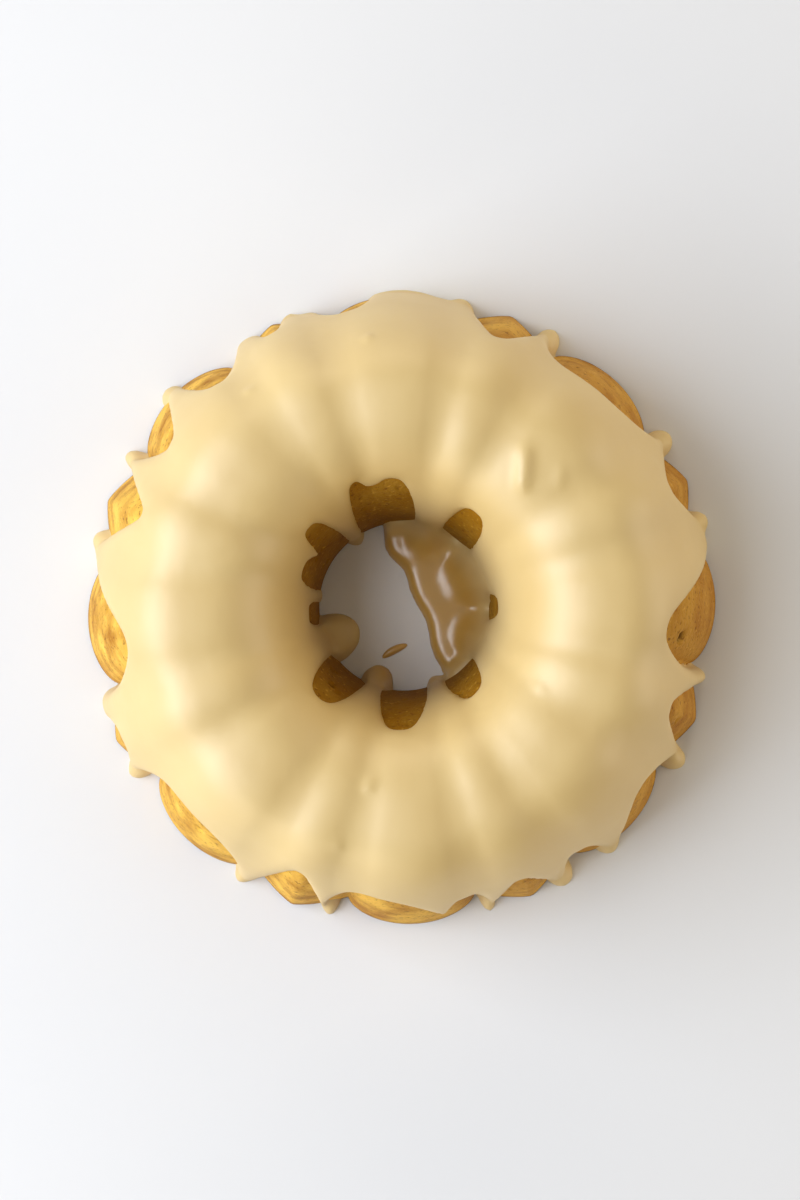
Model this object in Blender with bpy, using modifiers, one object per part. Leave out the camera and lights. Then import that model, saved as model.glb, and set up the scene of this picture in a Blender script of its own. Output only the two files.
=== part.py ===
"""A fluted ring cake under poured caramel icing, in metres, +Z up, origin on the ring's axis at its base.

The cake is one solid ring with eight wide and eight narrow flutes. The icing lies over its crown, runs down
both walls in drips, mostly along the grooves, spreads in small feet at the base and pools in the hole.
"""

import math

import bmesh
import bpy
from mathutils import Matrix, Vector

MM = 0.001

# The ring, whose section is a full arch with drafted walls
HEIGHT = 88 * MM
BASE_RADIUS = 125 * MM
CREST_RADIUS = 77.5 * MM
HOLE_RADIUS = 33.5 * MM
OUTER_DRAFT = math.radians(10)
INNER_DRAFT = math.radians(2)
FULLNESS = 2.6  # of the arch: 2 is an ellipse, and more broadens its crown
HOLE_SHIFT = Vector((0.7, 1.5, 0)) * MM  # the hole sits a little off the ring's axis
SQUARE_FOOT = 20 * MM  # the walls move out and in level over this height, so the base stays flat

# The flutes: a wide one at 0 degrees, a narrow one halfway to the next, a groove between
PERIOD = math.radians(45)
WIDE_FLUTE = math.radians(12.5)  # half the width of a wide flute
NARROW_FLUTE = PERIOD / 2 - WIDE_FLUTE
GROOVE_DEPTH = 9 * MM  # at the outer base; it fades to nothing in the hole
WIDE_ROUND = 0.65
NARROW_ROUND = 1.15

# How finely the ring is turned
ROWS = 12  # along the arch
ROW_CROWDING = 1.5  # above 1, rows lie closer together over the crown than down the walls
WIDE_COLUMNS = 3  # from a wide flute's ridge to its groove
NARROW_COLUMNS = 3  # from the groove to a narrow flute's ridge
COLUMNS = 8 * 2 * (WIDE_COLUMNS + NARROW_COLUMNS)

# The icing
CLEARANCE = 0.3 * MM
COAT = 2.8 * MM  # its thickness on a ridge
GROOVE_LEFT = 0.4  # how much of a groove's depth still shows through the icing
SPARE = 6 * MM  # how far the icing and its cutters run below the base before they are trimmed there
ARCH_POINTS = 8

# Windows where the cake shows between drips: angle, width and lean at the top in degrees, height in mm,
# fullness of the arch, which is 1 for a triangle, 2 for an ellipse and more for a box
OUTER_WINDOWS = (
    (357.5, 21, 77.5, -2.5, 1.7),
    (22.7, 13, 53.5, 0, 1.6),
    (45.6, 24, 55.5, 3, 2.0),
    (67.9, 12, 61, 0.5, 1.7),
    (98.3, 8, 6, 0, 2.0),
    (128.3, 11.5, 52.5, 0.4, 1.9),
    (142, 10.5, 59, 0, 1.9),
    (157.6, 12.6, 72, 0, 1.6),
    (181, 23.4, 71.5, 3.5, 1.9),
    (203, 6, 6, 0, 2.0),
    (222.8, 22, 61.5, 0.5, 1.7),
    (246.4, 12.6, 69, 0.3, 1.8),
    (266.2, 20.5, 58, -2.5, 2.0),
    (279.2, 7.5, 35, -1.2, 1.8),
    (291.3, 10.5, 51.5, 0.5, 1.6),
    (304.7, 6, 6, 0, 2.0),
    (320.2, 14, 40, 0.3, 1.6),
    (338, 11.4, 64.5, 0, 1.9),
)
INNER_WINDOWS = (
    (357.5, 17.5, 36, 1, 2.5),
    (49.4, 24, 65, 1, 2.6),
    (97.5, 35, 71, 0, 2.6),
    (109.5, 14, 74, 1, 2.2),
    (136.5, 18.5, 68, 1, 2.8),
    (155.5, 23, 54, 1, 2.6),
    (182.3, 15.5, 38.5, 0, 3.0),
    (227, 30.5, 68.5, -2.5, 2.3),
    (269.5, 30.5, 67.5, -3, 2.5),
    (309.3, 24.5, 58, -1.5, 2.5),
)

# Feet where drips reach the base: angle, distance of the tip from the axis, width and height in mm
OUTER_FEET = (
    (14.5, 127.5, 11, 8),
    (31, 128, 12, 8),
    (59.5, 127.3, 11, 8),
    (77, 126.8, 12, 9),
    (88, 127.8, 34, 7),
    (109, 126.5, 10, 8),
    (135, 129, 12, 9),
    (148.5, 126.5, 9, 8),
    (165, 126.5, 11, 8),
    (209, 126.8, 10, 8),
    (237, 126.5, 9, 7),
    (254.5, 126.5, 7, 7),
    (284.5, 126.3, 7, 7),
    (299, 127.8, 12, 8),
    (309.5, 128.4, 11, 8),
    (329.5, 128.4, 11, 8),
)
INNER_FEET = (
    (122.5, 30, 9, 7),
    (202, 20.5, 17, 9),
    (249, 25.5, 12, 8),
    (291, 30, 9, 7),
)
FOOT_DEPTH = 8 * MM  # half of a foot's length along the radius

# The pool that covers the hole's floor on its right side. Its left edge is the free one; the rest of its
# outline lies inside the cake, and is trimmed to the hole's wall.
POOL_THICKNESS = 4.2 * MM
POOL_EDGE = 2 * MM
POOL_OUTLINE = (
    (-5.5, 36), (-5.7, 29), (-4.7, 24), (-1.8, 19.8), (1.8, 16.3), (3.2, 12.6), (3.8, 8), (6, 2.2),
    (9.2, -3), (10.4, -6.8), (10.6, -12.7), (12.3, -18.7), (15, -23.2), (19, -29), (28, -28), (38, -15),
    (41, 2), (38, 18), (27, 32), (10, 40),
)  # fmt: skip


def clear_scene():
    for item in list(bpy.data.objects):
        bpy.data.objects.remove(item)


def new_collection(name, parent):
    collection = bpy.data.collections.new(name)
    parent.children.link(collection)
    return collection


def new_object(name, mesh, collection):
    item = bpy.data.objects.new(name, mesh)
    collection.objects.link(item)
    return item


def hide(item):
    """A cutter takes part in the modelling and not in the model."""
    item.hide_render = True
    item.display_type = "WIRE"
    return item


def evaluated_mesh(item):
    """The object's mesh with its modifiers applied. The object itself is removed."""
    bpy.context.view_layer.update()
    graph = bpy.context.evaluated_depsgraph_get()
    mesh = bpy.data.meshes.new_from_object(item.evaluated_get(graph))
    bpy.data.objects.remove(item)
    return mesh


def smoothstep(value):
    value = min(max(value, 0), 1)
    return value * value * (3 - 2 * value)


def section(turn):
    """Radius and height of the plain ring: -90 degrees is the foot of the hole, 0 the crest, 90 the outer foot."""
    draft = math.tan(OUTER_DRAFT if turn > 0 else INNER_DRAFT)
    width = BASE_RADIUS - CREST_RADIUS if turn > 0 else CREST_RADIUS - HOLE_RADIUS
    height = HEIGHT * max(math.cos(turn), 0) ** (2 / FULLNESS)
    arch_reach = (width - draft * HEIGHT) * abs(math.sin(turn)) ** (2 / FULLNESS)
    reach = arch_reach + draft * (HEIGHT - height)
    return CREST_RADIUS + math.copysign(reach, turn), height


def turn_at(height, side):
    """The turn at which the outer wall (side 1) or the hole's wall (side -1) reaches this height."""
    share = min(max(height / HEIGHT, 0), 1)
    return math.copysign(math.acos(share ** (FULLNESS / 2)), side)


def section_normal(turn):
    """The section's outward direction, as radius and height."""
    step = math.radians(0.5)
    before = Vector(section(max(turn - step, -math.pi / 2)))
    after = Vector(section(min(turn + step, math.pi / 2)))
    along = (after - before).normalized()
    return Vector((-along.y, along.x))


def flute_rise(angle):
    """How far a point round the ring stands out of the grooves: 0 in a groove, 1 on a ridge."""
    off = abs(angle - round(angle / PERIOD) * PERIOD)
    if off < WIDE_FLUTE:
        return (1 - (off / WIDE_FLUTE) ** 2) ** WIDE_ROUND
    return 1 - min((PERIOD / 2 - off) / NARROW_FLUTE, 1) ** NARROW_ROUND


def groove(angle, turn):
    """The groove's depth below the plain ring."""
    return GROOVE_DEPTH * smoothstep(turn / math.pi + 0.5) * (1 - flute_rise(angle))


def cake_offset(angle, turn):
    return -groove(angle, turn)


def cleared_offset(angle, turn):
    return CLEARANCE - groove(angle, turn)


def icing_offset(angle, turn):
    return COAT - GROOVE_LEFT * groove(angle, turn)


def ring_place(radius, angle, height):
    """A point at this radius and angle, moved with the hole, whose shift fades out towards the crest."""
    share = (CREST_RADIUS - radius) / (CREST_RADIUS - HOLE_RADIUS)
    place = Vector((radius * math.cos(angle), radius * math.sin(angle), height))
    return place + HOLE_SHIFT * min(max(share, 0), 1)


def flute_angle(angle):
    """Spreads evenly turned columns so that each ridge and each groove has a column of its own."""
    ridge = round(angle / PERIOD) * PERIOD
    column = abs(angle - ridge) / PERIOD * 2 * (WIDE_COLUMNS + NARROW_COLUMNS)
    wide = min(column / WIDE_COLUMNS, 1) * WIDE_FLUTE
    narrow = max(column - WIDE_COLUMNS, 0) / NARROW_COLUMNS * NARROW_FLUTE
    return ridge + math.copysign(wide + narrow, angle - ridge)


def shape_ring(mesh, offset):
    """Moves each point of a plainly turned ring out along the section by offset(angle, turn)."""
    for vertex in mesh.vertices:
        x, y, height = vertex.co
        radius = math.hypot(x, y)
        angle = flute_angle(math.atan2(y, x))
        turn = turn_at(height, radius - CREST_RADIUS)
        move = section_normal(turn) * offset(angle, turn)
        level = min(max(height / SQUARE_FOOT, 0), 1)
        vertex.co = ring_place(radius + move.x, angle, height + move.y * level)


def ring(name, offset, below, collection):
    """A closed ring turned from its section, which runs straight down below the base, then fluted."""
    spread = [2 * row / ROWS - 1 for row in range(ROWS + 1)]
    turns = [math.copysign(abs(share) ** ROW_CROWDING, share) * math.pi / 2 for share in spread]
    profile = [section(turn) for turn in turns]
    if below:
        profile = [(HOLE_RADIUS, -below), *profile, (BASE_RADIUS, -below)]
    points = [(radius, 0, height) for radius, height in profile]
    edges = [(i, (i + 1) % len(points)) for i in range(len(points))]
    mesh = bpy.data.meshes.new(name)
    mesh.from_pydata(points, edges, [])
    turned = new_object(name + "_profile", mesh, collection)
    screw = turned.modifiers.new("turn", "SCREW")
    screw.steps = COLUMNS
    screw.render_steps = COLUMNS
    screw.use_merge_vertices = True
    screw.merge_threshold = 0.01 * MM
    solid = evaluated_mesh(turned)
    shape_ring(solid, offset)
    return new_object(name, solid, collection)


def arch(width, height, lean, fullness, side):
    """A window's outline as it lies on the wall, across and up, and on down below the base.

    Its width is an angle, so across it grows with the wall's own radius at each height.
    """
    outline = []
    for i in range(ARCH_POINTS + 1):
        round_it = math.pi * i / ARCH_POINTS
        up = height * abs(math.sin(round_it)) ** (2 / fullness)
        half = math.copysign(abs(math.cos(round_it)) ** (2 / fullness), math.cos(round_it))
        wall, _ = section(turn_at(up, side))
        outline.append(((half * width / 2 + lean * up / height) * wall, up))
    return [(outline[0][0], -2 * SPARE), *outline, (outline[-1][0], -2 * SPARE)]


def flat_solid(name, outline, thickness, edge, collection):
    """A plate of this outline in its own XY plane, centred on it, with edges rounded by edge."""
    curve = bpy.data.curves.new(name, "CURVE")
    curve.dimensions = "2D"
    curve.fill_mode = "BOTH"
    curve.extrude = thickness / 2 - edge
    curve.bevel_depth = edge
    curve.bevel_resolution = 1
    curve.offset = -edge
    spline = curve.splines.new("POLY")
    spline.points.add(len(outline) - 1)
    for point, (x, y) in zip(spline.points, outline):
        point.co = (x, y, 0, 1)
    spline.use_cyclic_u = True
    mesh = evaluated_mesh(new_object(name + "_outline", curve, collection))
    solid = bmesh.new()
    solid.from_mesh(mesh)
    bmesh.ops.remove_doubles(solid, verts=solid.verts, dist=0.001 * MM)
    bmesh.ops.recalc_face_normals(solid, faces=solid.faces)
    solid.to_mesh(mesh)
    solid.free()
    return new_object(name, mesh, collection)


def window(name, row, side, collection):
    """A cutter through the icing on the outer wall (side 1) or on the hole's wall (side -1)."""
    angle, width, height, lean, fullness = row
    inner, outer = (CREST_RADIUS + 8 * MM, BASE_RADIUS + 20 * MM) if side > 0 else (20 * MM, CREST_RADIUS - 6 * MM)
    outline = arch(math.radians(width), height * MM, math.radians(lean), fullness, side)
    cutter = flat_solid(name, outline, outer - inner, 0, collection)
    stand_up = Matrix.Rotation(math.pi / 2, 4, "Z") @ Matrix.Rotation(math.pi / 2, 4, "X")
    out = Matrix.Translation(((inner + outer) / 2, 0, 0))
    shift = HOLE_SHIFT if side < 0 else Vector((0, 0, 0))
    turned = Matrix.Rotation(math.radians(angle), 4, "Z")
    cutter.matrix_world = Matrix.Translation(shift) @ turned @ out @ stand_up
    return hide(cutter)


def foot(name, row, side, collection):
    """A drip's foot: a low dome that is trimmed at the base and at the cake's wall."""
    angle, tip, width, height = row
    solid = bmesh.new()
    bmesh.ops.create_uvsphere(solid, u_segments=10, v_segments=6, radius=1)
    mesh = bpy.data.meshes.new(name)
    solid.to_mesh(mesh)
    solid.free()
    mesh.transform(Matrix.Diagonal((FOOT_DEPTH, width * MM / 2, height * MM, 1)))
    dome = new_object(name, mesh, collection)
    shift = HOLE_SHIFT if side < 0 else Vector((0, 0, 0))
    out = Matrix.Translation((tip * MM - side * FOOT_DEPTH, 0, 0))
    dome.matrix_world = Matrix.Translation(shift) @ Matrix.Rotation(math.radians(angle), 4, "Z") @ out
    return hide(dome)


def pool(collection):
    outline = [(x * MM, y * MM) for x, y in POOL_OUTLINE]
    plate = flat_solid("pool", outline, 2 * POOL_THICKNESS, POOL_EDGE, collection)
    return hide(plate)


def floor_cutter(collection):
    """Everything below the base, where the icing's run-out is trimmed."""
    side = 3 * BASE_RADIUS
    solid = bmesh.new()
    bmesh.ops.create_cube(solid, size=1)
    mesh = bpy.data.meshes.new("below_base")
    solid.to_mesh(mesh)
    solid.free()
    mesh.transform(Matrix.Translation((0, 0, -2 * SPARE)) @ Matrix.Diagonal((side, side, 4 * SPARE, 1)))
    return hide(new_object("below_base", mesh, collection))


def add_boolean(item, name, operation, other):
    """MANIFOLD keeps this long chain of cuts and joins closed, which EXACT doesn't."""
    boolean = item.modifiers.new(name, "BOOLEAN")
    boolean.operation = operation
    boolean.solver = "MANIFOLD"
    if isinstance(other, bpy.types.Collection):
        boolean.operand_type = "COLLECTION"
        boolean.collection = other
    else:
        boolean.object = other


def material(name, colour, roughness):
    made = bpy.data.materials.new(name)
    made.use_nodes = True
    shader = made.node_tree.nodes["Principled BSDF"]
    shader.inputs["Base Color"].default_value = (*colour, 1)
    shader.inputs["Roughness"].default_value = roughness
    shader.inputs["Metallic"].default_value = 0
    return made


def finish(item, made):
    item.data.materials.clear()
    item.data.materials.append(made)
    item.data.shade_smooth()
    item.data.set_sharp_from_angle(angle=math.radians(50))


def main():
    clear_scene()
    scene = bpy.context.scene.collection
    parts = new_collection("bundt_cake", scene)
    cutters = new_collection("cutters", scene)
    windows = new_collection("windows", cutters)
    spills = new_collection("spills", cutters)

    for i, row in enumerate(OUTER_WINDOWS):
        window(f"outer_window_{i}", row, 1, windows)
    for i, row in enumerate(INNER_WINDOWS):
        window(f"inner_window_{i}", row, -1, windows)
    for i, row in enumerate(OUTER_FEET):
        foot(f"outer_foot_{i}", row, 1, spills)
    for i, row in enumerate(INNER_FEET):
        foot(f"inner_foot_{i}", row, -1, spills)
    pool(spills)

    cake = ring("cake", cake_offset, 0, parts)
    cleared_cake = hide(ring("cleared_cake", cleared_offset, 2 * SPARE, cutters))
    icing = ring("icing", icing_offset, SPARE, parts)
    add_boolean(icing, "windows", "DIFFERENCE", windows)
    add_boolean(icing, "spills", "UNION", spills)
    add_boolean(icing, "cake", "DIFFERENCE", cleared_cake)
    add_boolean(icing, "base", "DIFFERENCE", floor_cutter(cutters))

    finish(cake, material("baked_crust", (0.50, 0.25, 0.07), 0.65))
    finish(icing, material("caramel_icing", (0.67, 0.47, 0.20), 0.3))


main()
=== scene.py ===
import math

import bmesh
import bpy
import numpy as np
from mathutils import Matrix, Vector


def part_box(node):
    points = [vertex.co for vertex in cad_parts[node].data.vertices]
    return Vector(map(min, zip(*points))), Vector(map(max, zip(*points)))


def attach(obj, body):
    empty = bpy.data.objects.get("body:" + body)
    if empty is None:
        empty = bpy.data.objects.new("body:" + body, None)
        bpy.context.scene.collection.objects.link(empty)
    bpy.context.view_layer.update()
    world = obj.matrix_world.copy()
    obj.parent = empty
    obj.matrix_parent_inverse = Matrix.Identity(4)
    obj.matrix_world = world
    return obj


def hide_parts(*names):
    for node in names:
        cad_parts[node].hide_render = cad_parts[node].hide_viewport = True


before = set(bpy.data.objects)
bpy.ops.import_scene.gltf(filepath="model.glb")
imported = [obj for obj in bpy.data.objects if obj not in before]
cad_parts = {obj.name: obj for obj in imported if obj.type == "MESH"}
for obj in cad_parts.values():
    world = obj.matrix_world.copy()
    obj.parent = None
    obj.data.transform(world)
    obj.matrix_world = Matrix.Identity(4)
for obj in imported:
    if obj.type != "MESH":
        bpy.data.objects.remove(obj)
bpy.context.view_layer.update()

MM = 0.001
TINY = 0.001 * MM
FAR = 1.0  # further than anything on the cake

# Sizes of the baked ring and of the icing on it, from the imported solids
cake_low, cake_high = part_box("cake")
_, icing_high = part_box("icing")
BASE_RADIUS = (cake_high.x - cake_low.x) / 2
HEIGHT = cake_high.z
COAT = icing_high.z - HEIGHT
CREST_RADIUS = 0.62 * BASE_RADIUS
HOLE_RADIUS = 0.268 * BASE_RADIUS
OUTER_DRAFT = math.tan(math.radians(10))
INNER_DRAFT = math.tan(math.radians(2))
FULLNESS = 2.6  # of the arch: 2 is an ellipse, and more broadens its crown
HOLE_SHIFT = (0.7 * MM, 1.5 * MM)  # the tin's tube stands a little off its middle
SQUARE_FOOT = 20 * MM  # over this height the walls move out and in level, so the foot stays flat

# How finely the rings are meshed: rows along the section and columns round the axis
TUBE = CREST_RADIUS / 2  # radius of the half circle that each is moulded from
CRUST_MESH = (150, 600)
ICING_MESH = (260, 1000)
BED_MESH = (40, 192)

# The tin's flutes: a wide one at 0 degrees, a narrow one halfway to the next
PERIOD = math.radians(45)
WIDE_FLUTE = math.radians(12.5)
NARROW_FLUTE = PERIOD / 2 - WIDE_FLUTE
GROOVE_DEPTH = 9 * MM
WIDE_ROUND = 0.65  # of its arch: less is fuller
NARROW_ROUND = 1.15  # of its arch: more is fuller

# The icing
CROWN_GROOVE = 0.7  # how much of a groove's depth still shows through the icing on the crown
FOOT_GROOVE = 0.35  # and at the foot, where drips fill the grooves
THIN_WALL = 0.35  # how much of the coat has run down off the steep walls
EDGE_WIDTH = 6 * MM  # over which the icing rounds down to the crust
SINK = 1.8 * MM  # how far the icing's skin is drawn under the crust in a window
BED = 0.8 * MM  # how far the icing's underside sits in the crust
BELOW = 8 * MM  # how far its walls run below the base before they are trimmed there
VOXEL = 1.3 * MM  # of the mesh in which the coat and the pool run together
OUTER_BLEND = 3 * MM  # how softly two windows run together
INNER_BLEND = 6 * MM
BARE_EDGE = 0.8 * MM  # over which the skin goes under the crust, inside a window
# Its slow swells and the streaks that run down the walls: rise and size
SWELLS = (0.3 * MM, 40 * MM)
STREAKS = (0.16 * MM, 9 * MM)

# Windows where the crust shows between drips: angle, width and lean at the top in degrees, height in mm,
# fullness of the arch, which is 1 for a triangle, 2 for an ellipse and more for a box
OUTER_WINDOWS = (
    (358, 21, 79, -3.6, 2.2),
    (22.7, 13, 57, 0, 1.6),
    (45.5, 25.5, 58, 1.5, 2.7),
    (67.9, 12, 62.5, 0.5, 1.7),
    (98.3, 9, 37, 0, 1.8),
    (113.2, 4.5, 37, 0, 1.8),
    (127, 11.5, 57, 0.4, 1.9),
    (142, 11.5, 65, 0, 1.9),
    (157.5, 13.6, 73, 0, 1.7),
    (181, 23.4, 73, 3.5, 1.9),
    (202.6, 7.5, 35, 0, 1.8),
    (222.4, 25.5, 62, 0.5, 2.6),
    (246.4, 12.6, 70.5, 0.3, 1.8),
    (265.8, 23.5, 62.5, -2.5, 2.5),
    (279.8, 9, 52, 0.5, 2.0),
    (291.3, 10.5, 58, 0.5, 1.6),
    (304.7, 7.5, 43, 0, 1.8),
    (320.6, 17, 53.5, 0.3, 1.6),
    (338, 11.4, 67, 0, 1.9),
)
INNER_WINDOWS = (
    (357.5, 17.5, 38.5, 1, 2.5),
    (49.4, 24, 66.5, 1, 2.6),
    (93.5, 27, 73, 0, 2.6),
    (101, 24, 68.5, 0, 3.0),
    (108.5, 19, 75, 1, 2.2),
    (136.5, 18.5, 69, 1, 2.8),
    (155.5, 23, 55.5, 1, 2.6),
    (182.3, 15.5, 40.5, 0, 3.0),
    (227, 30.5, 69, -2.5, 2.3),
    (269.5, 30.5, 68, -3, 2.5),
    (309.3, 24.5, 60, -1.5, 2.5),
)

# Feet where drips reach the base: angle, distance of the tip from the axis, width and height in mm
OUTER_FEET = (
    (14.5, 127.5, 11, 8),
    (31, 128, 12, 8),
    (59.5, 127.3, 11, 8),
    (77, 126.8, 12, 9),
    (88, 127.8, 34, 7),
    (109, 126.5, 10, 8),
    (135, 129, 12, 9),
    (148.5, 126.5, 9, 8),
    (165, 126.5, 11, 8),
    (209, 126.8, 10, 8),
    (237, 126.5, 9, 7),
    (254.5, 125, 7, 7),
    (284.5, 125, 7, 7),
    (299, 127.8, 12, 8),
    (309.5, 128.4, 11, 8),
    (329.5, 128.4, 11, 8),
)
INNER_FEET = (
    (122.5, 30, 9, 7),
    (291, 30, 9, 7),
)
FOOT_DEPTH = 8 * MM  # how far a foot's dome goes back into its drip
BLEND = 3 * MM  # how softly a foot runs into its drip

# The pool's free edge on the hole's floor, from wall to wall: across and along in mm
POOL_EDGE = (
    (-5.6, 38), (-6, 29), (-6, 25.5), (-3.4, 20.5), (1.4, 17.3), (2.6, 12.6), (3.6, 8), (6, 2.2),
    (9.2, -3), (10.4, -6.8), (10.6, -12.7), (12.3, -18.7), (15, -23.2), (21, -32),
)  # fmt: skip
POOL_GRID = 100  # squares along each side of the sheet it is shaped from
POOL_MARGIN = 4 * MM  # how far that sheet reaches into the cake
POOL_SUNK = 2 * MM  # how far it lies under the base where the floor is bare
POOL_THICKNESS = 3.8 * MM
POOL_BEAD = 5 * MM  # how far in from the free edge the pool's top rounds off
# Drips that land on the pool: first and last angle, height at the wall and reach over the pool in mm
LANDINGS = (
    (6, 38, 20, 17.5),
    (60, 80, 18, 17),
    (326, 347, 20, 13.5),
)
LANDING_SIDE = math.radians(20)  # over which a landing fades out at each side
FILLET = 4.5 * MM  # how the icing runs round from the wall to the floor
# Drips that end on the floor by themselves: angle, distance of the tip from the hole's axis and width in mm
TONGUES = (
    (202, 19.5, 20),
    (249, 25, 13),
)
TONGUE_THICKNESS = 3.4 * MM
# A fallen drop on the floor: place, direction in degrees, length, width and height in mm
DROP = (-3.3, -16.2, 27, 11.2, 3.4, 1.8)
DROP_WAVER = (0.5 * MM, 9 * MM)  # of its sides: rise and size

# Small folds and blebs where the icing was poured last: place, direction in degrees, length, width and
# rise in mm
FOLDS = (
    (46.4, 50.4, 88, 16, 5.5, 2.3),
    (59.0, 46.7, 88, 9, 3.5, 0.7),
    (-8.8, 99.2, 60, 3.5, 3, 1.0),
    (-53.0, 83.0, 30, 4, 3, 0.8),
    (-14.0, -63.0, 70, 6, 3.5, 0.9),
    (50.0, -30.0, 120, 5, 3, 0.6),
    (-26.0, -84.0, 100, 4, 3, 0.6),
)

# Blemishes on the crust: angle, height, width and depth in mm
CRATERS = (
    (352.6, 66, 4.2, 3.2),
    (225.1, 52, 3.0, 2.4),
)
PITS = 110  # small ones at random, each within these limits
PIT_LIMITS = ((0, 360), (3, 70), (1.6, 3.2), (0.3, 0.9))
CRUST_WAVER = (0.25 * MM, 22 * MM)  # of the crust all over: rise and size

ICING_PALE = "#D3B97E"
ICING_DARK = "#CAAD6F"
# Pool tone: partly the deeper colour of thick wet icing, partly painted shade of the hole
ICING_DEEP_AND_SHADED = "#C49A4C"
CRUST_GOLD = "#E2B44C"
# Brown of the browned patches, also laid on as painted shade on the side away from the window
CRUST_BROWN_AND_SHADE = "#A36D1C"
# Dark brown of the painted shade inside the pores, also used for the darker rim at the base
CRUST_PORE_SHADE = "#643808"
# Darker still: painted shade inside the pits
CRUST_PIT_SHADE = "#3A1D06"
CRUST_PALE = "#E0B452"
# Painted shade of the hole
CRUST_HOLE_SHADE = "#855A02"
PAPER_WHITE = "#DBDCDD"
ROOM_LIGHT = "#F2F5FA"


# Small helpers


def pick(piece, wanted):
    """Selects, in edit mode, just the points for which wanted(co) holds."""
    shape = bmesh.from_edit_mesh(piece.data)
    for vertex in shape.verts:
        vertex.select = wanted(vertex.co)
    shape.select_flush(True)
    shape.select_flush(False)
    bmesh.update_edit_mesh(piece.data)


def points_of(piece):
    """The piece's points, one row of x, y and z for each."""
    places = np.empty(len(piece.data.vertices) * 3, np.float32)
    piece.data.vertices.foreach_get("co", places)
    return places.reshape(-1, 3).astype(float)


def set_points(piece, places):
    """Moves the piece's points to these places."""
    piece.data.vertices.foreach_set("co", places.astype(np.float32).ravel())
    piece.data.update()


def apply_modifier(piece, kind, **settings):
    """Gives the piece a modifier with these settings and applies it."""
    modifier = piece.modifiers.new(kind.lower(), kind)
    for name, value in settings.items():
        setattr(modifier, name, value)
    bpy.context.view_layer.objects.active = piece
    bpy.ops.object.modifier_apply(modifier=modifier.name)


def smoothstep(value):
    """Runs from 0 to 1 with a soft start and a soft end."""
    value = np.clip(value, 0, 1)
    return value * value * (3 - 2 * value)


def soft_max(a, b, blend):
    """The larger of two, rounded where they are within blend of each other."""
    share = np.clip(0.5 + 0.5 * (a - b) / blend, 0, 1)
    return b + (a - b) * share + blend * share * (1 - share) * 0.5


def waves(places, look, seed):
    """A smooth random rise and fall. The look is about how high its bumps stand and how wide they are."""
    random = np.random.default_rng(seed)
    rise, size = look
    total = np.zeros(len(places))
    count = 14
    for _ in range(count):
        direction = random.normal(size=3)
        direction *= random.uniform(0.6, 1.4) * math.pi / size / np.linalg.norm(direction)
        total += np.sin(places @ direction + random.uniform(0, 2 * math.pi))
    return rise * total / math.sqrt(count)


# The ring


def turned_ring(name, mesh, material):
    """A plain ring to be moulded: half a circle over the base, closed along it and turned round the axis."""
    rows, columns = mesh
    bpy.ops.object.select_all(action="DESELECT")
    bpy.ops.mesh.primitive_circle_add(
        vertices=2 * rows, radius=TUBE, location=(CREST_RADIUS, 0, 0), rotation=(math.pi / 2, 0, 0)
    )
    piece = bpy.context.object
    piece.name = name
    bpy.ops.object.transform_apply(location=True, rotation=True, scale=True)
    bpy.ops.object.mode_set(mode="EDIT")
    pick(piece, lambda co: co.z < -TINY)
    bpy.ops.mesh.delete(type="VERT")
    pick(piece, lambda co: abs(co.z) < TINY)
    bpy.ops.mesh.edge_face_add()
    bpy.ops.object.mode_set(mode="OBJECT")
    apply_modifier(
        piece,
        "SCREW",
        steps=columns,
        render_steps=columns,
        use_merge_vertices=True,
        merge_threshold=TINY,
        use_normal_calculate=True,
        use_normal_flip=True,
    )
    piece.data.materials.clear()
    piece.data.materials.append(material)
    return piece


def section(turn):
    """Radius and height of the plain ring at a turn: -90 degrees is the hole's foot, and 0 the crest."""
    draft = np.where(turn > 0, OUTER_DRAFT, INNER_DRAFT)
    width = np.where(turn > 0, BASE_RADIUS - CREST_RADIUS, CREST_RADIUS - HOLE_RADIUS)
    height = HEIGHT * np.clip(np.cos(turn), 0, 1) ** (2 / FULLNESS)
    arch_reach = (width - draft * HEIGHT) * np.abs(np.sin(turn)) ** (2 / FULLNESS)
    return CREST_RADIUS + np.copysign(arch_reach + draft * (HEIGHT - height), turn), height


def section_normal(turn):
    """The section's outward direction, as radius and height."""
    step = math.radians(0.5)
    r0, z0 = section(np.maximum(turn - step, -math.pi / 2))
    r1, z1 = section(np.minimum(turn + step, math.pi / 2))
    length = np.hypot(r1 - r0, z1 - z0)
    return (z0 - z1) / length, (r1 - r0) / length


def flute_rise(angle):
    """How far a point round the ring stands out of the grooves: 0 in a groove, 1 on a ridge."""
    off = np.abs(angle - np.round(angle / PERIOD) * PERIOD)
    wide = np.clip(1 - (off / WIDE_FLUTE) ** 2, 0, 1) ** WIDE_ROUND
    narrow = 1 - np.clip((PERIOD / 2 - off) / NARROW_FLUTE, 0, 1) ** NARROW_ROUND
    return np.where(off < WIDE_FLUTE, wide, narrow)


def soft_rise(angle):
    """The flutes as the icing follows them, with their ridges and grooves run smooth."""
    spread = [-3.5, -2.1, -0.7, 0.7, 2.1, 3.5]
    return sum(flute_rise(angle + math.radians(degrees)) for degrees in spread) / len(spread)


def groove(rise, turn):
    """A groove's depth below the plain ring."""
    return GROOVE_DEPTH * smoothstep(turn / math.pi + 0.5) * (1 - rise)


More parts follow.
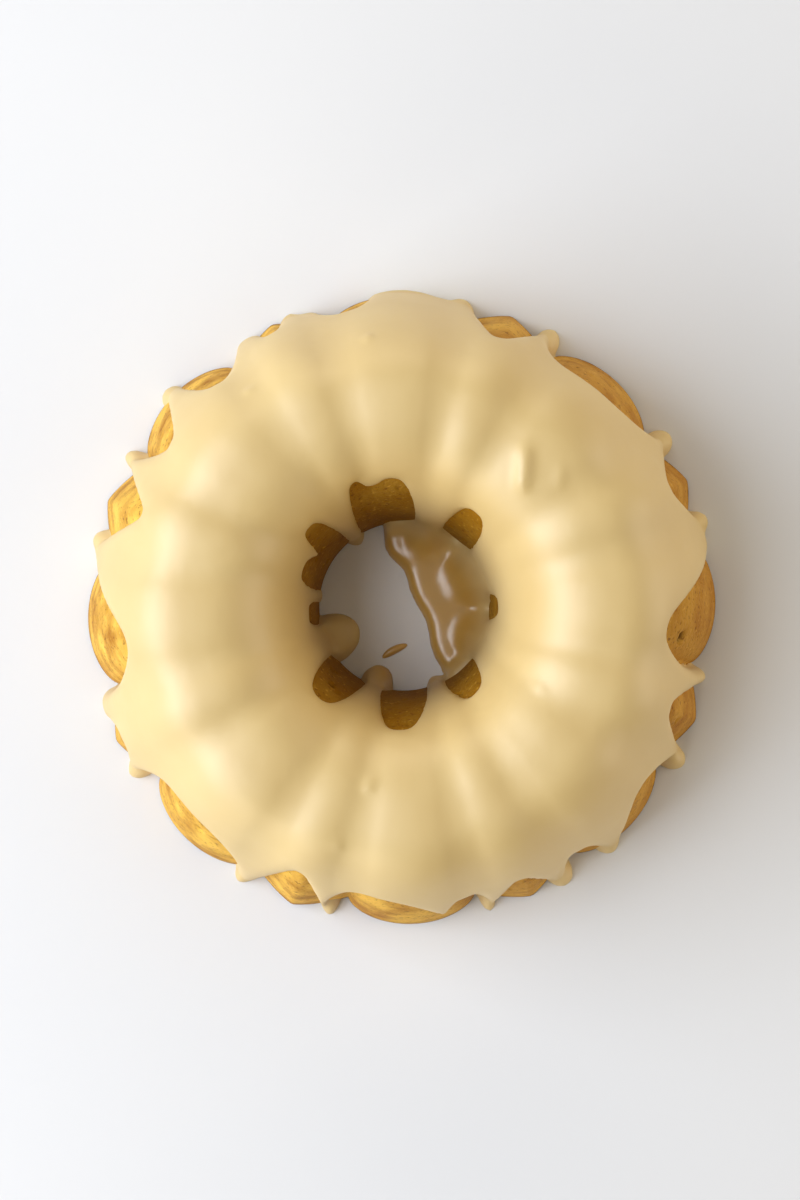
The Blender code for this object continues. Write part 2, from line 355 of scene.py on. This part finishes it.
class Wall:
    """Where each point of a turned ring lies: its angle, its turn along the section, and the wall there."""

    def __init__(self, piece, crowd, overrun):
        """A crowd below 1 draws rows down to the walls. The overrun is the share of rows past the feet."""
        x, y, z = points_of(piece).T
        spun_radius = np.hypot(x, y)
        along = np.arctan2(spun_radius - CREST_RADIUS, z) / (math.pi / 2)
        along = np.copysign(np.abs(along) ** crowd, along) * (1 + overrun)
        self.angle = np.arctan2(y, x)
        self.turn = np.clip(along, -1, 1) * math.pi / 2
        self.below = np.clip(np.abs(along) - 1, 0, None) / max(overrun, TINY) * (overrun > 0)
        self.outside = self.turn > 0
        self.radius, self.height = section(self.turn)
        self.out, self.up = section_normal(self.turn)

    def places(self, offset, below=0.0):
        """The points moved out from the plain ring by offset, with the rows past each foot drawn down."""
        level = np.clip(self.height / SQUARE_FOOT, 0, 1)
        radius = self.radius + self.out * offset
        height = self.height + self.up * offset * level - below * self.below
        share = np.clip((CREST_RADIUS - radius) / (CREST_RADIUS - HOLE_RADIUS), 0, 1)
        x = radius * np.cos(self.angle) + HOLE_SHIFT[0] * share
        y = radius * np.sin(self.angle) + HOLE_SHIFT[1] * share
        return np.stack([x, y, height], axis=1)


# The icing's outline


def window_distance(window, wall):
    """How far each point is from a window's edge along the wall: below 0 where the crust is bare."""
    angle, width, tall, lean, fullness = window
    half = math.radians(width / 2)
    height = np.clip(wall.height, 0, None)
    middle = math.radians(angle) + math.radians(lean) * height / (tall * MM)
    off = np.abs((wall.angle - middle + math.pi) % (2 * math.pi) - math.pi)
    across = off / half
    up = height / (tall * MM)
    size = np.maximum((across**fullness + up**fullness) ** (1 / fullness), 0.05)
    slope_across = across ** (fullness - 1) / (half * wall.radius)
    slope_up = up ** (fullness - 1) * np.abs(wall.out) / (tall * MM)
    steepness = np.hypot(slope_across, slope_up) * size ** (1 - fullness)
    return (size - 1) / np.maximum(steepness, 1)


def window_edges(wall):
    """How far each point is from the nearest window: below 0 where the crust is bare."""
    nearest = np.full(len(wall.angle), FAR)
    for side, windows, blend in ((True, OUTER_WINDOWS, OUTER_BLEND), (False, INNER_WINDOWS, INNER_BLEND)):
        for window in windows:
            distance = np.where(wall.outside == side, window_distance(window, wall), FAR)
            nearest = -soft_max(-nearest, -distance, blend)
    return nearest


def feet(wall):
    """How far out of the plain ring the drips' feet stand, and far inside it away from them."""
    standing = np.full(len(wall.angle), -FAR)
    for side, rows, foot_radius in ((True, OUTER_FEET, BASE_RADIUS), (False, INNER_FEET, HOLE_RADIUS)):
        for angle, tip, width, tall in rows:
            off = (wall.angle - math.radians(angle) + math.pi) % (2 * math.pi) - math.pi
            across = off * wall.radius / (width / 2 * MM)
            up = np.clip(wall.height, 0, None) / (tall * MM)
            dome = np.sqrt(np.clip(1 - across**2 - up**2, 0, 1))
            reach = abs(tip * MM - foot_radius) - FOOT_DEPTH + FOOT_DEPTH * dome
            here = (wall.outside == side) & (dome > 0)
            standing = np.maximum(standing, np.where(here, reach, -FAR))
    return standing


def pour_marks(wall):
    """The rise and fall of the icing's skin: slow swells, streaks down the walls, and small folds."""
    plain = wall.places(0)
    # Distances count for less down the walls than round them, which draws the streaks out
    around = np.stack([np.cos(wall.angle), np.sin(wall.angle), 0.25 * wall.turn], axis=1) * CREST_RADIUS
    marks = waves(plain, SWELLS, 3) + waves(around, STREAKS, 8)
    for x, y, direction, length, width, rise in FOLDS:
        east, north = plain[:, 0] - x * MM, plain[:, 1] - y * MM
        c, s = math.cos(math.radians(direction)), math.sin(math.radians(direction))
        along = (east * c + north * s) / (length / 2 * MM)
        across = (north * c - east * s) / (width / 2 * MM)
        marks += rise * MM * np.exp(-(along**4) - across**2) * (wall.height > HEIGHT / 2)
    return marks


def smooth_line(at, stations, values):
    """A line through given stations, with its corners run round."""
    spread = np.linspace(-2.5, 2.5, 7) * MM
    return sum(np.interp(at + step, stations, values) for step in spread) / len(spread)


def run_out(radius, tall, reach):
    """Height of icing that runs out in a hollow curve, from the hole's coated wall to its reach inwards."""
    slide = np.linspace(0, 1, 200)
    height = tall * (1 - np.sqrt(1 - slide**2))
    crown_share = (height / HEIGHT) ** FULLNESS
    arch_reach = (CREST_RADIUS - HOLE_RADIUS - INNER_DRAFT * HEIGHT) * (1 - crown_share) ** (1 / FULLNESS)
    wall = CREST_RADIUS - arch_reach - INNER_DRAFT * (HEIGHT - height) - (1 - THIN_WALL) * COAT
    return np.interp(radius, wall - reach * (1 - slide), height)


def pool_piece(material):
    """The pool on the hole's floor: a sheet with a thick rounded bead along its free edge."""
    along = [row[1] * MM for row in POOL_EDGE][::-1]
    across = [row[0] * MM for row in POOL_EDGE][::-1]
    side = 2 * (HOLE_RADIUS + POOL_MARGIN)
    bpy.ops.object.select_all(action="DESELECT")
    bpy.ops.mesh.primitive_grid_add(x_subdivisions=POOL_GRID, y_subdivisions=POOL_GRID, size=side)
    piece = bpy.context.object
    piece.name = "icing_pool"
    piece.data.materials.append(material)
    places = points_of(piece)
    x, y = places[:, 0], places[:, 1]
    edge = smooth_line(y, along, across)
    slope = (smooth_line(y + MM, along, across) - smooth_line(y - MM, along, across)) / (2 * MM)
    distance = (x - edge) / np.hypot(1, slope)
    near = 1 - np.clip(distance / POOL_BEAD, 0, 1)
    height = POOL_THICKNESS * np.sqrt(1 - near**2)
    radius = np.hypot(x - HOLE_SHIFT[0], y - HOLE_SHIFT[1])
    angle = np.arctan2(y - HOLE_SHIFT[1], x - HOLE_SHIFT[0])
    fillet = run_out(radius, FILLET, FILLET)
    landed = fillet
    for first, last, tall, reach in LANDINGS:
        half = math.radians(last - first) / 2
        off = np.abs((angle - math.radians(first) - half + math.pi) % (2 * math.pi) - math.pi)
        share = smoothstep((half - off) / LANDING_SIDE + 0.5)
        landed = np.maximum(landed, fillet + (run_out(radius, tall * MM, reach * MM) - fillet) * share)
    height = np.where(distance > 0, height + landed, -POOL_SUNK)
    for direction, tip, width in TONGUES:
        off = (angle - math.radians(direction) + math.pi) % (2 * math.pi) - math.pi
        across = np.sin(off) * radius / (width / 2 * MM)
        along = (HOLE_RADIUS - radius * np.cos(off)) / (HOLE_RADIUS - tip * MM)
        size = np.hypot(across, np.clip(along, 0, None))
        tongue = TONGUE_THICKNESS * np.sqrt(1 - np.clip(size, 0, 1) ** 4)
        tongue += run_out(radius, 2 * FILLET, 2 * FILLET) * smoothstep((1 - size) / 0.5)
        here = (size < 1) & (np.abs(off) < math.pi / 2)
        height = np.where(here, np.maximum(height, tongue), height)
    places[:, 2] = height
    set_points(piece, places)
    bpy.ops.object.mode_set(mode="EDIT")
    bpy.ops.mesh.select_all(action="SELECT")
    bpy.ops.mesh.extrude_region_move(TRANSFORM_OT_translate={"value": (0, 0, -BELOW)})
    bpy.ops.mesh.select_all(action="SELECT")
    bpy.ops.mesh.normals_make_consistent(inside=False)
    bpy.ops.object.mode_set(mode="OBJECT")
    return piece


def fallen_drop(material):
    """A drop on the hole's floor, drawn out as it fell."""
    x, y, direction, length, width, tall = DROP
    bpy.ops.object.select_all(action="DESELECT")
    bpy.ops.mesh.primitive_uv_sphere_add(
        segments=48,
        ring_count=24,
        location=(x * MM, y * MM, 0),
        rotation=(0, 0, math.radians(direction)),
        scale=(length / 2 * MM, width / 2 * MM, tall * MM),
    )
    piece = bpy.context.object
    piece.name = "icing_drop"
    piece.data.materials.append(material)
    bpy.ops.object.transform_apply(location=True, rotation=True, scale=True)
    places = points_of(piece)
    turn = math.radians(direction)
    places[:, :2] += waves(places, DROP_WAVER, 21)[:, None] * (-math.sin(turn), math.cos(turn))
    set_points(piece, places)
    return piece


# The two pieces


def join(piece, other):
    """Makes the other mesh a part of the piece."""
    bpy.ops.object.select_all(action="DESELECT")
    other.select_set(True)
    piece.select_set(True)
    bpy.context.view_layer.objects.active = piece
    bpy.ops.object.join()


def cut(piece, cutter):
    """Cuts the closed cutter out of the closed piece, and removes it."""
    before = len(piece.data.vertices)
    apply_modifier(piece, "BOOLEAN", operation="DIFFERENCE", solver="MANIFOLD", object=cutter)
    bpy.data.objects.remove(cutter)
    if len(piece.data.vertices) == before:
        raise RuntimeError(piece.name + " wasn't cut")


def bake_cake():
    """The ring as it came out of its tin."""
    cake = turned_ring("baked_cake", CRUST_MESH, baked_crust())
    wall = Wall(cake, crowd=0.62, overrun=0)
    offset = waves(wall.places(0), CRUST_WAVER, 5) * np.clip(wall.height / SQUARE_FOOT, 0, 1)
    random = np.random.default_rng(12)
    pits = [[random.uniform(low, high) for low, high in PIT_LIMITS] for _ in range(PITS)]
    sunk = np.zeros(len(offset))
    for angle, height, width, depth in (*CRATERS, *pits):
        off = (wall.angle - math.radians(angle) + math.pi) % (2 * math.pi) - math.pi
        distance = np.hypot(off * wall.radius, wall.height - height * MM) / (width / 2 * MM)
        sunk += depth * MM * np.exp(-(distance**4))
    offset -= sunk
    cake.data.attributes.new("sunk", "FLOAT", "POINT").data.foreach_set("value", sunk)
    set_points(cake, wall.places(offset - groove(flute_rise(wall.angle), wall.turn)))
    cake.data.shade_smooth()
    return cake


def pour_icing():
    """The icing over the ring, with its drips, feet, pool and fallen drop, as one piece."""
    material = caramel_icing()
    icing = turned_ring("poured_icing", ICING_MESH, material)
    wall = Wall(icing, crowd=0.85, overrun=0.04)
    crust = -groove(flute_rise(wall.angle), wall.turn)
    share = wall.turn / (math.pi / 2)  # 0 at the crest, 1 at the outer foot and -1 at the hole's
    coat = COAT * (1 - THIN_WALL * smoothstep(np.abs(share) * 2 - 0.5))
    left = CROWN_GROOVE + (FOOT_GROOVE - CROWN_GROOVE) * smoothstep(share * 2 - 0.6)
    surface = coat - left * groove(soft_rise(wall.angle), wall.turn) + pour_marks(wall)
    nearest = window_edges(wall)
    rounding = np.sqrt(1 - (1 - np.clip(nearest / EDGE_WIDTH, 0, 1)) ** 2)
    bare = smoothstep(-nearest / BARE_EDGE)
    offset = crust + (surface - crust) * rounding - SINK * bare
    offset = soft_max(offset, feet(wall), BLEND)
    set_points(icing, wall.places(offset, BELOW))
    join(icing, pool_piece(material))
    apply_modifier(icing, "REMESH", mode="VOXEL", voxel_size=VOXEL)
    apply_modifier(icing, "SMOOTH", factor=0.5, iterations=4)
    join(icing, fallen_drop(material))
    bed = turned_ring("bed", BED_MESH, material)
    wall = Wall(bed, crowd=1, overrun=0.06)
    set_points(bed, wall.places(-BED - groove(flute_rise(wall.angle), wall.turn), 2 * BELOW))
    cut(icing, bed)
    bpy.ops.object.select_all(action="DESELECT")
    bpy.ops.mesh.primitive_cube_add(size=1, location=(0, 0, -2 * BELOW), scale=(1, 1, 4 * BELOW))
    below = bpy.context.object
    bpy.ops.object.transform_apply(location=True, rotation=True, scale=True)
    cut(icing, below)
    icing.data.shade_smooth()
    return icing


# Materials


def linear(hex_colour):
    """An sRGB hex colour as the linear values a shader takes."""
    parts = [int(hex_colour[i : i + 2], 16) / 255 for i in (1, 3, 5)]
    return [c / 12.92 if c <= 0.04045 else ((c + 0.055) / 1.055) ** 2.4 for c in parts] + [1]


def add_node(material, kind, settings=None, inputs=None):
    """Adds a node with its settings. An input is a value, or another node's output to link."""
    node = material.node_tree.nodes.new(kind)
    for name, value in (settings or {}).items():
        setattr(node, name, value)
    for name, value in (inputs or {}).items():
        if isinstance(value, bpy.types.NodeSocket):
            material.node_tree.links.new(value, node.inputs[name])
        else:
            node.inputs[name].default_value = value
    return node


def new_material(name):
    """A material with no nodes yet."""
    material = bpy.data.materials.new(name)
    material.use_nodes = True
    material.node_tree.nodes.clear()
    return material


def finish_material(material, shader):
    """Links the shader to the material's output."""
    add_node(material, "ShaderNodeOutputMaterial", inputs={"Surface": shader.outputs["BSDF"]})
    return material


def axis_distance(material, place):
    """How far each place is from the cake's upright axis."""
    level = add_node(material, "ShaderNodeVectorMath", {"operation": "MULTIPLY"}, {0: place, 1: (1, 1, 0)})
    length = add_node(
        material, "ShaderNodeVectorMath", {"operation": "LENGTH"}, {0: level.outputs["Vector"]}
    )
    return length.outputs["Value"]


def caramel_icing():
    """Caramel icing, poured and set: opaque cream and brown sugar under a smooth skin with a satin gloss."""
    material = new_material("caramel_icing")
    place = add_node(material, "ShaderNodeTexCoord").outputs["Object"]
    # The sugar has browned unevenly, in clouds about 30 mm across
    clouds = add_node(
        material, "ShaderNodeTexNoise", inputs={"Vector": place, "Scale": 1 / (30 * MM), "Detail": 2.0}
    )
    colour = add_node(
        material,
        "ShaderNodeMix",
        {"data_type": "RGBA"},
        {"Factor": clouds.outputs["Fac"], 6: linear(ICING_PALE), 7: linear(ICING_DARK)},
    )
    # On the crown it has set to a satin skin. The pool in the hole is still wet, and painted browner: partly
    # the deeper tone of thick wet icing, partly painted shade of the deep hole
    inwards = add_node(
        material,
        "ShaderNodeMapRange",
        {"interpolation_type": "SMOOTHSTEP"},
        {
            "Value": axis_distance(material, place),
            "From Min": HOLE_RADIUS + 2 * MM,
            "From Max": HOLE_RADIUS - 8 * MM,
        },
    )
    across = add_node(material, "ShaderNodeSeparateXYZ", inputs={"Vector": place})
    pool_side = add_node(
        material,
        "ShaderNodeMapRange",
        {"interpolation_type": "SMOOTHSTEP"},
        {"Value": across.outputs["X"], "From Min": -16 * MM, "From Max": -6 * MM},
    )
    pooled = add_node(
        material,
        "ShaderNodeMath",
        {"operation": "MULTIPLY"},
        {0: inwards.outputs["Result"], 1: pool_side.outputs["Result"]},
    )
    deep_and_shaded = add_node(
        material,
        "ShaderNodeMix",
        {"data_type": "RGBA"},
        {"Factor": pooled.outputs["Value"], 6: colour.outputs[2], 7: linear(ICING_DEEP_AND_SHADED)},
    )
    gloss = add_node(
        material,
        "ShaderNodeMapRange",
        inputs={"Value": pooled.outputs["Value"], "To Min": 0.5, "To Max": 0.28},
    )
    # Its skin has set in slow ripples about 7 mm across, too low to see but in the gloss
    ripples = add_node(
        material, "ShaderNodeTexNoise", inputs={"Vector": place, "Scale": 1 / (7 * MM), "Detail": 1.0}
    )
    bump = add_node(
        material,
        "ShaderNodeBump",
        inputs={"Height": ripples.outputs["Fac"], "Strength": 1.0, "Distance": 0.12 * MM},
    )
    # Set sugar throws back more light than most foods do, so its lit side shines white
    shader = add_node(
        material,
        "ShaderNodeBsdfPrincipled",
        inputs={
            "Base Color": deep_and_shaded.outputs[2],
            "Roughness": gloss.outputs["Result"],
            "Specular IOR Level": 1.0,
            "Normal": bump.outputs["Normal"],
        },
    )
    return finish_material(material, shader)


def baked_crust():
    """Golden sponge crust from a buttered tin: matt, finely pored, browned in patches and dark at the rim,
    with painted shade on the side away from the window, in the hole, and in its pores and pits.
    """
    material = new_material("baked_crust")
    place = add_node(material, "ShaderNodeTexCoord").outputs["Object"]
    sides = add_node(material, "ShaderNodeSeparateXYZ", inputs={"Vector": place})
    # Browned patches about 14 mm across
    patches = add_node(
        material, "ShaderNodeTexNoise", inputs={"Vector": place, "Scale": 1 / (14 * MM), "Detail": 3.0}
    )
    # Open pores, with painted shade inside them. Real ones are about 0.5 mm; 1.8 mm keeps them visible on a
    # whole cake
    pores = add_node(
        material, "ShaderNodeTexNoise", inputs={"Vector": place, "Scale": 1 / (1.8 * MM), "Detail": 3.0}
    )
    # Paler grains of crumb between them, about 2 mm apart
    grains = add_node(
        material,
        "ShaderNodeTexNoise",
        {"noise_dimensions": "4D"},
        {"Vector": place, "W": 5.0, "Scale": 1 / (2 * MM), "Detail": 2.0},
    )
    # How deep each place has sunk into a pit, which sets the painted shade inside it
    pits = add_node(material, "ShaderNodeAttribute", {"attribute_name": "sunk"})
    # Each tone lies over the ones before it: what it follows, where that starts and ends, the most it covers
    tones = (
        (patches.outputs["Fac"], 0.35, 0.7, 1, CRUST_BROWN_AND_SHADE),
        # Painted shade: the +X side, away from the window light, is darkened with the browned tone
        (sides.outputs["X"], -HOLE_RADIUS, BASE_RADIUS, 0.75, CRUST_BROWN_AND_SHADE),
        # Painted shade of the hole: darker from the crest in towards the hole
        (axis_distance(material, place), CREST_RADIUS, 1.3 * HOLE_RADIUS, 0.85, CRUST_HOLE_SHADE),
        # Painted shade inside the pores
        (pores.outputs["Fac"], 0.58, 0.7, 0.7, CRUST_PORE_SHADE),
        # Painted shade inside the pits, darkest where they are deepest
        (pits.outputs["Fac"], 0.5 * MM, 2 * MM, 1, CRUST_PIT_SHADE),
        (grains.outputs["Fac"], 0.6, 0.75, 0.6, CRUST_PALE),
        # Darker over the lowest 3 mm, down to the base, in the pores' dark brown
        (sides.outputs["Z"], 3 * MM, 0.8 * MM, 0.85, CRUST_PORE_SHADE),
    )
    colour = linear(CRUST_GOLD)
    for followed, start, end, most, tone in tones:
        share = add_node(
            material,
            "ShaderNodeMapRange",
            inputs={"Value": followed, "From Min": start, "From Max": end, "To Max": most},
        )
        colour = add_node(
            material,
            "ShaderNodeMix",
            {"data_type": "RGBA"},
            {"Factor": share.outputs["Result"], 6: colour, 7: linear(tone)},
        ).outputs[2]
    bump = add_node(
        material,
        "ShaderNodeBump",
        {"invert": True},
        {"Height": pores.outputs["Fac"], "Strength": 1.0, "Distance": 0.6 * MM},
    )
    shader = add_node(
        material,
        "ShaderNodeBsdfPrincipled",
        inputs={
            "Base Color": colour,
            "Roughness": 0.7,
            "Specular IOR Level": 0.12,
            "Normal": bump.outputs["Normal"],
        },
    )
    return finish_material(material, shader)


def studio_floor():
    """White paper: matt, so it takes soft shadows and sends pale light back up."""
    material = new_material("white_paper")
    shader = add_node(
        material,
        "ShaderNodeBsdfPrincipled",
        inputs={"Base Color": linear(PAPER_WHITE), "Roughness": 0.8},
    )
    return finish_material(material, shader)


# The stage

# Panels of light round the object: direction and elevation in degrees, width, height, power and colour
PANELS = (
    ("window", 180, 32, 2.3, 1.0, 57, "#EEF4FF"),
    ("window_head", 180, 62, 1.2, 0.6, 11.5, "#EEF4FF"),
    ("right_wall", 0, 17, 2.2, 1.1, 25, "#FFF1D9"),
    ("far_wall", 92, 20, 2.0, 1.0, 17, "#FFF3DE"),
    ("near_wall", 240, 20, 1.2, 1.0, 12.5, "#FFF3DE"),
    ("ceiling", 0, 90, 2.4, 2.4, 6, "#FFF6E8"),
)
PANEL_DISTANCE = 2.0
PANEL_TARGET = Vector((0, 0, 40 * MM))
FLOOR_SIDE = 6.0
ROOM_STRENGTH = 0.03

CAMERA_HEIGHT = 1.0
CAMERA_SENSOR = 36
CAMERA_LENS = 75.3
CAMERA_ROLL = math.radians(-2)
CAMERA_OFF = (-0.7 * MM, 4.1 * MM)  # of its middle from the axis, across and along its own frame


def add_panel(name, place, width, height, power, colour):
    """A rectangle of soft light that faces the cake."""
    light = bpy.data.lights.new(name, "AREA")
    light.shape = "RECTANGLE"
    light.size = width
    light.size_y = height
    light.energy = power
    light.color = linear(colour)[:3]
    item = bpy.data.objects.new(name, light)
    bpy.context.scene.collection.objects.link(item)
    item.location = place
    item.rotation_euler = (PANEL_TARGET - item.location).to_track_quat("-Z", "Y").to_euler()


def make_stage():
    """The floor, the panels of light round it and a faint light from all sides."""
    bpy.ops.object.select_all(action="DESELECT")
    bpy.ops.mesh.primitive_plane_add(size=FLOOR_SIDE)
    floor = bpy.context.object
    floor.name = "floor"
    floor.data.materials.append(studio_floor())
    for name, direction, elevation, width, height, power, colour in PANELS:
        turn, rise = math.radians(direction), math.radians(elevation)
        place = Vector((math.cos(turn) * math.cos(rise), math.sin(turn) * math.cos(rise), math.sin(rise)))
        add_panel(name, PANEL_DISTANCE * place, width, height, power, colour)
    world = bpy.data.worlds.new("studio")
    world.use_nodes = True
    world.node_tree.nodes["Background"].inputs["Color"].default_value = linear(ROOM_LIGHT)
    world.node_tree.nodes["Background"].inputs["Strength"].default_value = ROOM_STRENGTH
    bpy.context.scene.world = world
    bpy.context.scene.view_settings.view_transform = "Standard"


def make_camera():
    """Straight above, turned 2 degrees, framing about 320 by 480 mm of the floor."""
    camera = bpy.data.cameras.new("camera")
    camera.sensor_width = CAMERA_SENSOR
    camera.lens = CAMERA_LENS
    item = bpy.data.objects.new("camera", camera)
    bpy.context.scene.collection.objects.link(item)
    across, along = CAMERA_OFF
    cosine, sine = math.cos(CAMERA_ROLL), math.sin(CAMERA_ROLL)
    item.location = (across * cosine - along * sine, across * sine + along * cosine, CAMERA_HEIGHT)
    item.rotation_euler = (0, 0, CAMERA_ROLL)
    bpy.context.scene.camera = item


cake = bake_cake()
icing = pour_icing()
for piece, node, slot in ((cake, "cake", "crust"), (icing, "icing", "icing")):
    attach(piece, "root")
    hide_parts(node)

make_stage()
make_camera()
